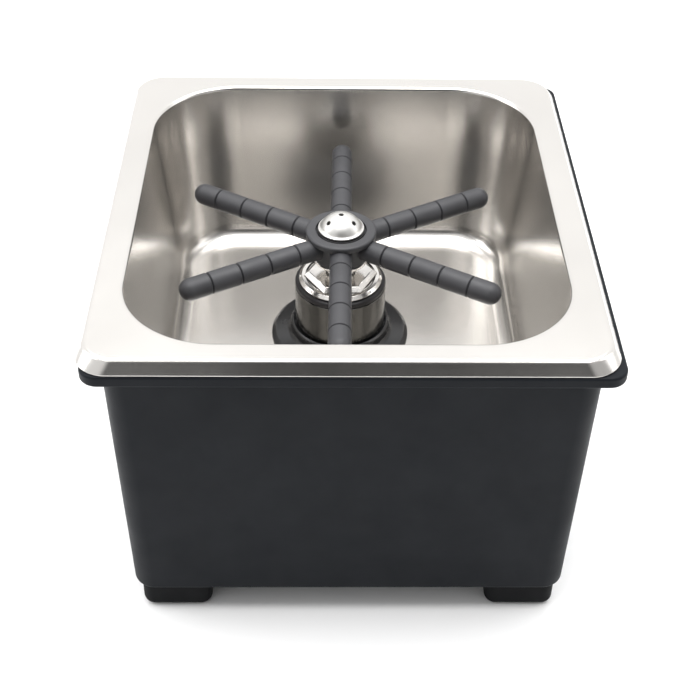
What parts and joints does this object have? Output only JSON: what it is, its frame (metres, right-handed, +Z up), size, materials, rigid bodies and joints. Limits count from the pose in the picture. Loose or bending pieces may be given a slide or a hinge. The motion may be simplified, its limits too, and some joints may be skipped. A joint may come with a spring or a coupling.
{
  "type": "pitcher rinser",
  "caption": "Free-standing jug rinser: a steel pan in a black moulded tub on feet, with a sprung six-arm spider and a spray dome on a central valve tower.",
  "frame": {"origin": "on the ground, in the middle of the foot print", "axes": "+X right, +Y back towards the hose outlet, +Z up"},
  "size_m": [0.1635, 0.176, 0.1174],
  "materials": {
    "tub_plastic": "fine moulded texture, charcoal black",
    "foot_rubber": "matte black",
    "pan_steel": "satin pressed stainless sheet",
    "polished_steel": "polished stainless",
    "spring_steel": "bright wire",
    "screw_steel": "plain zinc",
    "brass": "machined",
    "gloss_black": "glossy black moulding",
    "seal_rubber": "smooth black",
    "spider_rubber": "matte dark grey",
    "white_plastic": "plain white moulding"
  },
  "bodies": {
    "tub": {"tub_housing": "tub_plastic", "foot_front_left": "foot_rubber", "foot_front_right": "foot_rubber", "foot_rear_left": "foot_rubber", "foot_rear_right": "foot_rubber", "foot_screw_front_left": "screw_steel", "foot_screw_front_right": "screw_steel", "foot_screw_rear_left": "screw_steel", "foot_screw_rear_right": "screw_steel"},
    "pan_unit": {"rinse_pan": "pan_steel", "floor_gasket": "seal_rubber", "floor_flange": "gloss_black", "sleeve": "polished_steel", "seal_ring": "seal_rubber", "ring_nut": "polished_steel", "gland_nut": "polished_steel", "gland_seal": "seal_rubber", "valve_body": "polished_steel", "under_gasket": "seal_rubber", "clamp_washer": "screw_steel", "back_nut": "brass", "inlet_elbow": "brass", "inlet_tail": "brass", "drain_body": "polished_steel", "drain_strainer": "polished_steel", "drain_gasket": "seal_rubber", "drain_nut": "white_plastic", "drain_elbow": "white_plastic"},
    "plunger": {"spring_cup": "polished_steel", "return_spring": "spring_steel"},
    "spider_unit": {"stem": "polished_steel", "stem_collar": "polished_steel", "poppet": "brass", "poppet_seal": "seal_rubber", "spider": "spider_rubber", "spray_dome": "polished_steel", "dome_seal": "seal_rubber"}
  },
  "joints": [
    {"name": "pan_lift", "type": "slide", "parent": "tub", "child": "pan_unit", "axis": [0, 0, 1], "range_m": [0, 0.105]},
    {"name": "press", "type": "slide", "parent": "pan_unit", "child": "plunger", "axis": [0, 0, 1], "range_m": [-0.005, 0], "stiffness_N_per_m": 900, "springref_m": 0.01, "deforming": ["return_spring"]},
    {"name": "spider_turn", "type": "hinge", "parent": "plunger", "child": "spider_unit", "pos_m": [-0.0023, 0, 0.0997], "axis": [0, 0, 1], "continuous": true}
  ]
}
